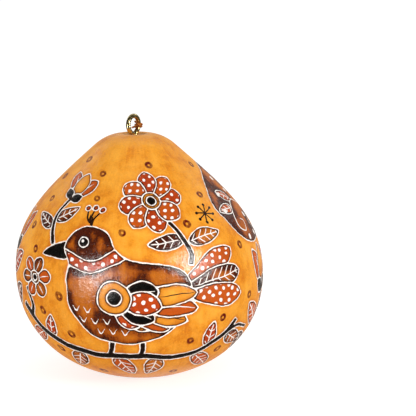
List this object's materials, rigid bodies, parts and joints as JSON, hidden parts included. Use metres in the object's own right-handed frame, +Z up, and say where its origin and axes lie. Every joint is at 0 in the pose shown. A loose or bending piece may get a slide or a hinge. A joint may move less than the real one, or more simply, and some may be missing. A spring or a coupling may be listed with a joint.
{
  "type": "gourd ornament",
  "caption": "Hanging ornament made of a small dried bottle gourd, carved, burnt and dyed on its outside, with a brass screw eye in its stem end and loose dry seeds inside.",
  "frame": {"origin": "on the table, under the middle of the gourd's belly", "axes": "+Z up through the stem end, -Y out of the side with the bird, which faces the camera, +X to its right"},
  "size_m": [0.0802, 0.0798, 0.085],
  "materials": {
    "gourd_skin": "dried gourd skin, waxed to a satin gloss, with burnt, dyed and engraved decoration",
    "pith": "dry, spongy and matt",
    "seed": "dry seed coat, dull",
    "brass_wire": "bright plated, polished",
    "thread": "waxed twisted thread"
  },
  "bodies": {
    "root": {"gourd_shell": "gourd_skin", "pith_lining": "pith", "screw_eye": "brass_wire", "thread_knot": "thread", "seed_01": "seed", "seed_02": "seed", "seed_03": "seed", "seed_04": "seed", "seed_05": "seed", "seed_06": "seed", "seed_07": "seed", "seed_08": "seed", "seed_09": "seed", "seed_10": "seed", "seed_11": "seed", "seed_12": "seed", "seed_13": "seed", "seed_14": "seed"}
  },
  "joints": []
}
